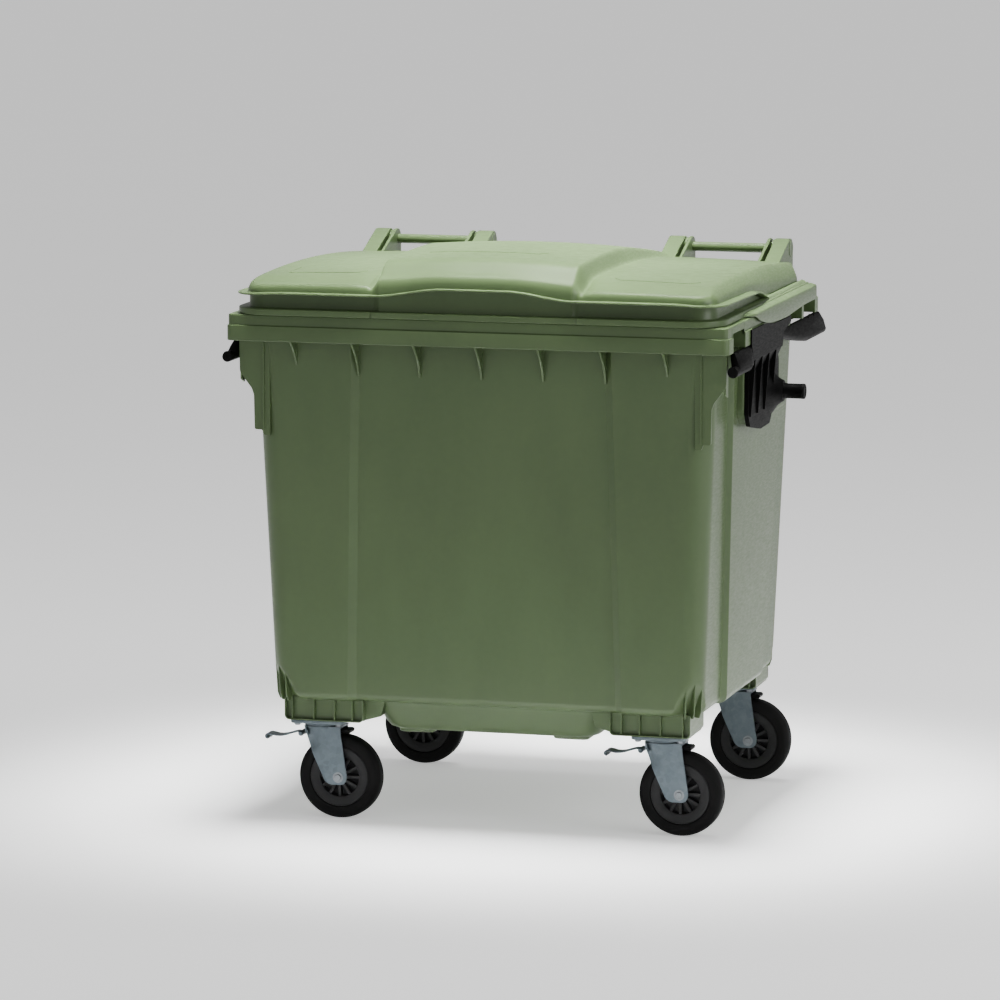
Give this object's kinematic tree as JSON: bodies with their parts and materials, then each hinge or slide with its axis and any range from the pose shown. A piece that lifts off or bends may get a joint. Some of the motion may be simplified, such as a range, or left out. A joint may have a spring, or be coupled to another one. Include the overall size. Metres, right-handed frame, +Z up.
{
  "type": "four-wheel waste container",
  "caption": "Four-wheel waste container: tapered tub with a down-turned rim, domed hinged lid, side handles, lifting trunnions and braked swivel casters.",
  "frame": {"origin": "on the floor under the middle of the container's bounding box", "axes": "+Z up, +X to the container's right, -Y to its front, so the lid's hinge is at +Y"},
  "size_m": [1.3712, 1.073, 1.4038],
  "materials": {
    "green_polyethylene": "fine moulded grain, slightly worn",
    "black_plastic": "satin",
    "tyre_rubber": "solid rubber",
    "bare_steel": "turned",
    "zinc_plated_steel": "bright zinc plate, satin"
  },
  "bodies": {
    "container": {"bin_body": "green_polyethylene", "hinge_bar_left": "green_polyethylene", "hinge_bar_right": "green_polyethylene", "trunnion_bracket_left": "black_plastic", "trunnion_bracket_right": "black_plastic", "trunnion_pin_left": "black_plastic", "trunnion_pin_right": "black_plastic", "side_handle_left": "black_plastic", "side_handle_right": "black_plastic", "drain_seal": "tyre_rubber", "caster_plate_front_left": "zinc_plated_steel", "king_pin_front_left": "bare_steel", "swivel_race_front_left": "zinc_plated_steel", "caster_plate_rear_left": "zinc_plated_steel", "king_pin_rear_left": "bare_steel", "swivel_race_rear_left": "zinc_plated_steel", "caster_plate_front_right": "zinc_plated_steel", "king_pin_front_right": "bare_steel", "swivel_race_front_right": "zinc_plated_steel", "caster_plate_rear_right": "zinc_plated_steel", "king_pin_rear_right": "bare_steel", "swivel_race_rear_right": "zinc_plated_steel"},
    "lid": {"lid": "green_polyethylene"},
    "drain_plug": {"drain_plug": "black_plastic"},
    "swivel_front_left": {"fork_front_left": "zinc_plated_steel", "axle_bolt_front_left": "bare_steel", "axle_nut_front_left": "bare_steel", "axle_sleeve_front_left": "bare_steel"},
    "wheel_front_left": {"wheel_core_front_left": "black_plastic", "tyre_front_left": "tyre_rubber"},
    "pedal_front_left": {"brake_pedal_front_left": "zinc_plated_steel"},
    "shoe_front_left": {"brake_shoe_front_left": "black_plastic"},
    "swivel_rear_left": {"fork_rear_left": "zinc_plated_steel", "axle_bolt_rear_left": "bare_steel", "axle_nut_rear_left": "bare_steel", "axle_sleeve_rear_left": "bare_steel"},
    "wheel_rear_left": {"wheel_core_rear_left": "black_plastic", "tyre_rear_left": "tyre_rubber"},
    "pedal_rear_left": {"brake_pedal_rear_left": "zinc_plated_steel"},
    "shoe_rear_left": {"brake_shoe_rear_left": "black_plastic"},
    "swivel_front_right": {"fork_front_right": "zinc_plated_steel", "axle_bolt_front_right": "bare_steel", "axle_nut_front_right": "bare_steel", "axle_sleeve_front_right": "bare_steel"},
    "wheel_front_right": {"wheel_core_front_right": "black_plastic", "tyre_front_right": "tyre_rubber"},
    "pedal_front_right": {"brake_pedal_front_right": "zinc_plated_steel"},
    "shoe_front_right": {"brake_shoe_front_right": "black_plastic"},
    "swivel_rear_right": {"fork_rear_right": "zinc_plated_steel", "axle_bolt_rear_right": "bare_steel", "axle_nut_rear_right": "bare_steel", "axle_sleeve_rear_right": "bare_steel"},
    "wheel_rear_right": {"wheel_core_rear_right": "black_plastic", "tyre_rear_right": "tyre_rubber"},
    "pedal_rear_right": {"brake_pedal_rear_right": "zinc_plated_steel"},
    "shoe_rear_right": {"brake_shoe_rear_right": "black_plastic"}
  },
  "joints": [
    {"name": "lid_hinge", "type": "hinge", "parent": "container", "child": "lid", "pos_m": [0, 0.5105, 1.3435], "axis": [-1, 0, 0], "range_deg": [0, 270]},
    {"name": "drain_plug_turn", "type": "hinge", "parent": "container", "child": "drain_plug", "pos_m": [0, 0.05, 0.2253], "axis": [0, 0, 1], "range_deg": [0, 90]},
    {"name": "swivel_front_left", "type": "hinge", "parent": "container", "child": "swivel_front_left", "pos_m": [-0.4303, -0.3645, 0.2299], "axis": [0, 0, 1], "continuous": true},
    {"name": "wheel_spin_front_left", "type": "hinge", "parent": "swivel_front_left", "child": "wheel_front_left", "pos_m": [-0.3819, -0.3645, 0.104], "axis": [0, 1, 0], "continuous": true},
    {"name": "brake_pedal_front_left", "type": "hinge", "parent": "swivel_front_left", "child": "pedal_front_left", "pos_m": [-0.4823, -0.3645, 0.206], "axis": [0, -1, 0], "range_deg": [0, 18]},
    {"name": "brake_shoe_front_left", "type": "slide", "parent": "swivel_front_left", "child": "shoe_front_left", "axis": [0, 0, -1], "range_m": [0, 0.003]},
    {"name": "swivel_rear_left", "type": "hinge", "parent": "container", "child": "swivel_rear_left", "pos_m": [-0.4303, 0.381, 0.2299], "axis": [0, 0, 1], "continuous": true},
    {"name": "wheel_spin_rear_left", "type": "hinge", "parent": "swivel_rear_left", "child": "wheel_rear_left", "pos_m": [-0.3819, 0.381, 0.104], "axis": [0, 1, 0], "continuous": true},
    {"name": "brake_pedal_rear_left", "type": "hinge", "parent": "swivel_rear_left", "child": "pedal_rear_left", "pos_m": [-0.4823, 0.381, 0.206], "axis": [0, -1, 0], "range_deg": [0, 18]},
    {"name": "brake_shoe_rear_left", "type": "slide", "parent": "swivel_rear_left", "child": "shoe_rear_left", "axis": [0, 0, -1], "range_m": [0, 0.003]},
    {"name": "swivel_front_right", "type": "hinge", "parent": "container", "child": "swivel_front_right", "pos_m": [0.4303, -0.3645, 0.2299], "axis": [0, 0, 1], "continuous": true},
    {"name": "wheel_spin_front_right", "type": "hinge", "parent": "swivel_front_right", "child": "wheel_front_right", "pos_m": [0.4787, -0.3645, 0.104], "axis": [0, 1, 0], "continuous": true},
    {"name": "brake_pedal_front_right", "type": "hinge", "parent": "swivel_front_right", "child": "pedal_front_right", "pos_m": [0.3783, -0.3645, 0.206], "axis": [0, -1, 0], "range_deg": [0, 18]},
    {"name": "brake_shoe_front_right", "type": "slide", "parent": "swivel_front_right", "child": "shoe_front_right", "axis": [0, 0, -1], "range_m": [0, 0.003]},
    {"name": "swivel_rear_right", "type": "hinge", "parent": "container", "child": "swivel_rear_right", "pos_m": [0.4303, 0.381, 0.2299], "axis": [0, 0, 1], "continuous": true},
    {"name": "wheel_spin_rear_right", "type": "hinge", "parent": "swivel_rear_right", "child": "wheel_rear_right", "pos_m": [0.4787, 0.381, 0.104], "axis": [0, 1, 0], "continuous": true},
    {"name": "brake_pedal_rear_right", "type": "hinge", "parent": "swivel_rear_right", "child": "pedal_rear_right", "pos_m": [0.3783, 0.381, 0.206], "axis": [0, -1, 0], "range_deg": [0, 18]},
    {"name": "brake_shoe_rear_right", "type": "slide", "parent": "swivel_rear_right", "child": "shoe_rear_right", "axis": [0, 0, -1], "range_m": [0, 0.003]}
  ],
  "couplings": [
    {"joint": "brake_shoe_front_left", "follows": "brake_pedal_front_left", "m_per_rad": 0.0095},
    {"joint": "brake_shoe_rear_left", "follows": "brake_pedal_rear_left", "m_per_rad": 0.0095},
    {"joint": "brake_shoe_front_right", "follows": "brake_pedal_front_right", "m_per_rad": 0.0095},
    {"joint": "brake_shoe_rear_right", "follows": "brake_pedal_rear_right", "m_per_rad": 0.0095}
  ]
}
